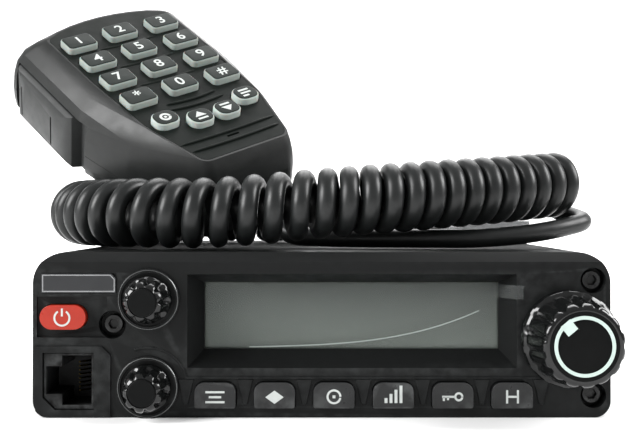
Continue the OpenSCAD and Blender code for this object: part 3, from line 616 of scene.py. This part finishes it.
def make_badge_border():
    """Thin lighter frame round the badge plate, with its upper right corner cut."""
    frame_lines = []
    x0, x1, z0, z1, cut, thick = -67.65, -50.05, 30.45, 34.65, 1.1, 0.28
    outer = [(x0, z0), (x1, z0), (x1, z1 - cut), (x1 - cut, z1), (x0, z1)]
    inner = [(x0 + thick, z0 + thick), (x1 - thick, z0 + thick), (x1 - thick, z1 - cut - 0.1),
             (x1 - cut - 0.1, z1 - thick), (x0 + thick, z1 - thick)]
    for k in range(5):
        j = (k + 1) % 5
        frame_lines.append([outer[k], outer[j], inner[j], inner[k]])
    flat_mark("badge_border", frame_lines, -0.36, -0.2, on_panel, "radio", "badge_metal", "badge_edge")


make_badge_border()


# ---------- display film ----------

def make_film():
    """Thin film over the window with its free edge lifted, and its peel tab over the right wall."""
    film = skin("display_film", 0.0)
    width = 0.28
    low, high = [], []
    for k in range(41):
        t = k / 40
        x = -18 + 57 * t
        z = 16.2 + 1.2 * t + 7.8 * t ** 3.2
        low.append((x, z))
        high.append((x, z + width))
    flat_mark("film_edge", [low + high[::-1]], 6.62, 6.75, on_panel, "radio", "film", "film_edge")
    return film


make_film()


# ---------- rear ----------

ANTENNA = (-34, FACE + 116, 20)


def make_antenna_socket():
    """The socket with the ridges of its thread."""
    skin("antenna_socket", 0.2)
    turns = [(2.4, 7.85)]
    for k in range(9):
        d = 2.8 + 1.06 * k
        turns += [(d, 7.45), (d + 0.3, 7.88), (d + 0.6, 7.88), (d + 0.9, 7.45)]
    turns += [(13.1, 7.4), (13.15, 6.1), (2.4, 6.1)]
    spun("antenna_thread", turns, ANTENNA, (0, 1, 0), "radio", "nickel", smooth=50)


make_antenna_socket()


# ---------- handset ----------

for node, width in (("mic_front_shell", 0.45), ("mic_rear_shell", 0.45), ("mic_face_plate", 0.2),
                    ("mic_board", 0.1), ("mic_capsule", 0.15), ("mic_screws", 0.12),
                    ("hang_button", 0.4)):
    skin(node, width, 2, smooth=32)
skin("ptt_button", 0.45, 3)


def on_mic(u, v, d):
    """Microphone coordinates: across the keypad, towards the top end, and out of the face."""
    return tuple((MIC @ (Vector((u, v, d)) * MM)) / MM)


def stack(outline, levels):
    """Rings for a loft: outline(inset) at each (height, inset)."""
    return [[(u, v, z) for u, v in outline(inset)] for z, inset in levels]


def glyph(name, text, size, at, body):
    """A digit as thin raised print on a key's top."""
    curve = bpy.data.curves.new(name, "FONT")
    curve.body = text
    curve.size = size * MM
    curve.align_x = "CENTER"
    curve.align_y = "CENTER"
    curve.extrude = 0.03 * MM
    curve.offset = 0.07 * MM
    holder = bpy.data.objects.new(name, curve)
    mesh = bpy.data.meshes.new_from_object(holder)
    bpy.data.objects.remove(holder)
    mesh.transform(MIC @ Matrix.Translation(Vector((*at, KEY_TOP - 0.02)) * MM))
    return put(name, mesh, body, "keypad_rubber", "print_white")


KEY_TOP = 1.98  # above the face
PRINT_TOP = KEY_TOP + 0.02
LABELS = "123456789*0#"
LOWER = [(-13.6, -47.9), (-4.4, -51.6), (4.8, -51.6), (14, -47.9)]
KEYPAD_X, COL_PITCH, ROW_Y0, ROW_PITCH, ROW_SAG = 0.2, 14.5, -1.6, 11, 0.7
KEY_SIZE, LOWER_SIZE = (9.9, 7.2, 1.6), (7.8, 6.8, 2.8)  # width, height, corner radius


def menu_marks(i, x, y):
    """The four lower keys' signs: a ring, an up arrow, a down arrow and a list."""
    shapes = (
        [arc_band((x, y), 1.7, 0.95, 0, 350), bar(x, y, 0.8, 0.8)],
        [[(x - 1.8, y - 0.4), (x + 1.8, y - 0.4), (x, y + 1.9)], bar(x, y - 1.5, 3.2, 0.7)],
        [[(x - 1.8, y + 0.4), (x, y - 1.9), (x + 1.8, y + 0.4)], bar(x, y + 1.5, 3.2, 0.7)],
        [bar(x, y + 1.3, 3.4, 0.7), bar(x, y - 0.1, 3.4, 0.7), bar(x - 0.7, y - 1.5, 2.0, 0.7)],
    )
    return shapes[i]


for i in range(16):
    name = f"mic_key_{i + 1}"
    if i < 12:
        column = i % 3 - 1
        at = (KEYPAD_X + column * COL_PITCH, ROW_Y0 - (i // 3) * ROW_PITCH - ROW_SAG * abs(column))
        (w, h, r), rubber = KEY_SIZE, "keypad_rubber"
    else:
        at = LOWER[i - 12]
        (w, h, r), rubber = LOWER_SIZE, "menu_rubber"
    outline = (lambda g: round_outline(w - 2 * g, h - 2 * g, max(0.5, r - g), 6, at))
    pad = stack(outline, [(-3.9, -0.6), (-3.0, -0.6), (-2.95, 0), (1.35, 0.08), (1.6, 0.16),
                          (1.76, 0.32), (1.84, 0.6)])
    put(name + "_pad", loft(name + "_pad", pad, MIC), name, "keypad_rubber", rubber, (name,))
    top = stack(outline, [(1.7, 0.42), (1.88, 0.46), (1.95, 0.56), (KEY_TOP - 0.01, 0.8)])
    put(name + "_top", loft(name + "_top", top, MIC), name, "keypad_rubber", "key_top")
    if i < 12:
        glyph(name + "_digit", LABELS[i], 5.2, (at[0], at[1] + 0.1), name)
    else:
        flat_mark(name + "_mark", menu_marks(i - 12, *at), KEY_TOP - 0.04, PRINT_TOP - 0.01, on_mic,
                  name, "keypad_rubber")


def face_rib(name, half, y, sag, thick, low, high):
    """A low rounded rib across the microphone's face, its middle lower by sag."""
    count = 16
    section = [(-1, low), (-0.7, high - 0.12), (-0.3, high), (0.3, high), (0.7, high - 0.12), (1, low)]
    rings = []
    for k in range(count + 1):
        t = 2 * k / count - 1
        end = 1 - 0.75 * abs(t) ** 12
        rings.append([(half * t, y - sag * (1 - t * t) + 0.5 * thick * v * end,
                       low + (z - low) * end) for v, z in section])
    return put(name, loft(name, rings, MIC), "microphone", "mic_face")


for k, (half, y, sag, thick) in enumerate(((9.0, -40.7, 1.0, 1.0), (9.6, -43.6, 1.0, 1.0),
                                           (16.8, -59.3, 0.5, 1.0), (15.6, -63.2, 0.5, 1.0))):
    face_rib(f"face_ridge_{k}", half, y, sag, thick, -0.3, 0.55)
for k in range(3):
    face_rib(f"row_rib_{k}", 10.5, ROW_Y0 - (k + 0.5) * ROW_PITCH + 0.3, 0.5, 1.4, -0.3, 0.3)


# ---------- stage ----------

def make_stage():
    g = Graph("floor_paper")
    g.link(g.mix(g.spread(g.noise(60, 3), 0.3, 0.7), (0.9, 0.9, 0.9, 1), (0.91, 0.91, 0.91, 1)),
           g.bsdf.inputs["Base Color"])
    g.bsdf.inputs["Roughness"].default_value = 0.85
    mesh = bpy.data.meshes.new("floor")
    rows = [(-3, 0), (2.2, 0), (2.6, 0.06), (2.9, 0.25), (3.05, 0.6), (3.1, 3)]
    verts = [(x, y, z) for y, z in rows for x in (-5, 5)]
    faces = [(2 * i, 2 * i + 1, 2 * i + 3, 2 * i + 2) for i in range(len(rows) - 1)]
    mesh.from_pydata(verts, [], faces)
    mesh.shade_smooth()
    mesh.materials.append(g.mat)
    floor = bpy.data.objects.new("floor", mesh)
    bpy.context.scene.collection.objects.link(floor)
    world = bpy.data.worlds.new("studio")
    world.use_nodes = True
    world.node_tree.nodes["Background"].inputs["Color"].default_value = (1, 1, 1, 1)
    world.node_tree.nodes["Background"].inputs["Strength"].default_value = 0.5
    bpy.context.scene.world = world
    bpy.context.scene.view_settings.view_transform = "Standard"
    for name, place, aim, size, power in (
            ("left_softbox", (-0.75, -0.4, 0.45), (-0.05, 0, 0.06), 0.5, 13),
            ("right_softbox", (0.8, -0.05, 0.55), (0.05, 0, 0.04), 0.5, 10),
            ("top_softbox", (0.1, 0.6, 0.9), (0, 0, 0.05), 0.8, 7.5),
            ("backdrop_light", (0, 1.0, 1.6), (0, 3, 0.3), 2.0, 110)):
        data = bpy.data.lights.new(name, "AREA")
        data.size = size
        data.energy = power
        lamp = bpy.data.objects.new(name, data)
        lamp.location = place
        lamp.rotation_euler = (Vector(aim) - Vector(place)).to_track_quat("-Z", "Y").to_euler()
        bpy.context.scene.collection.objects.link(lamp)


make_stage()
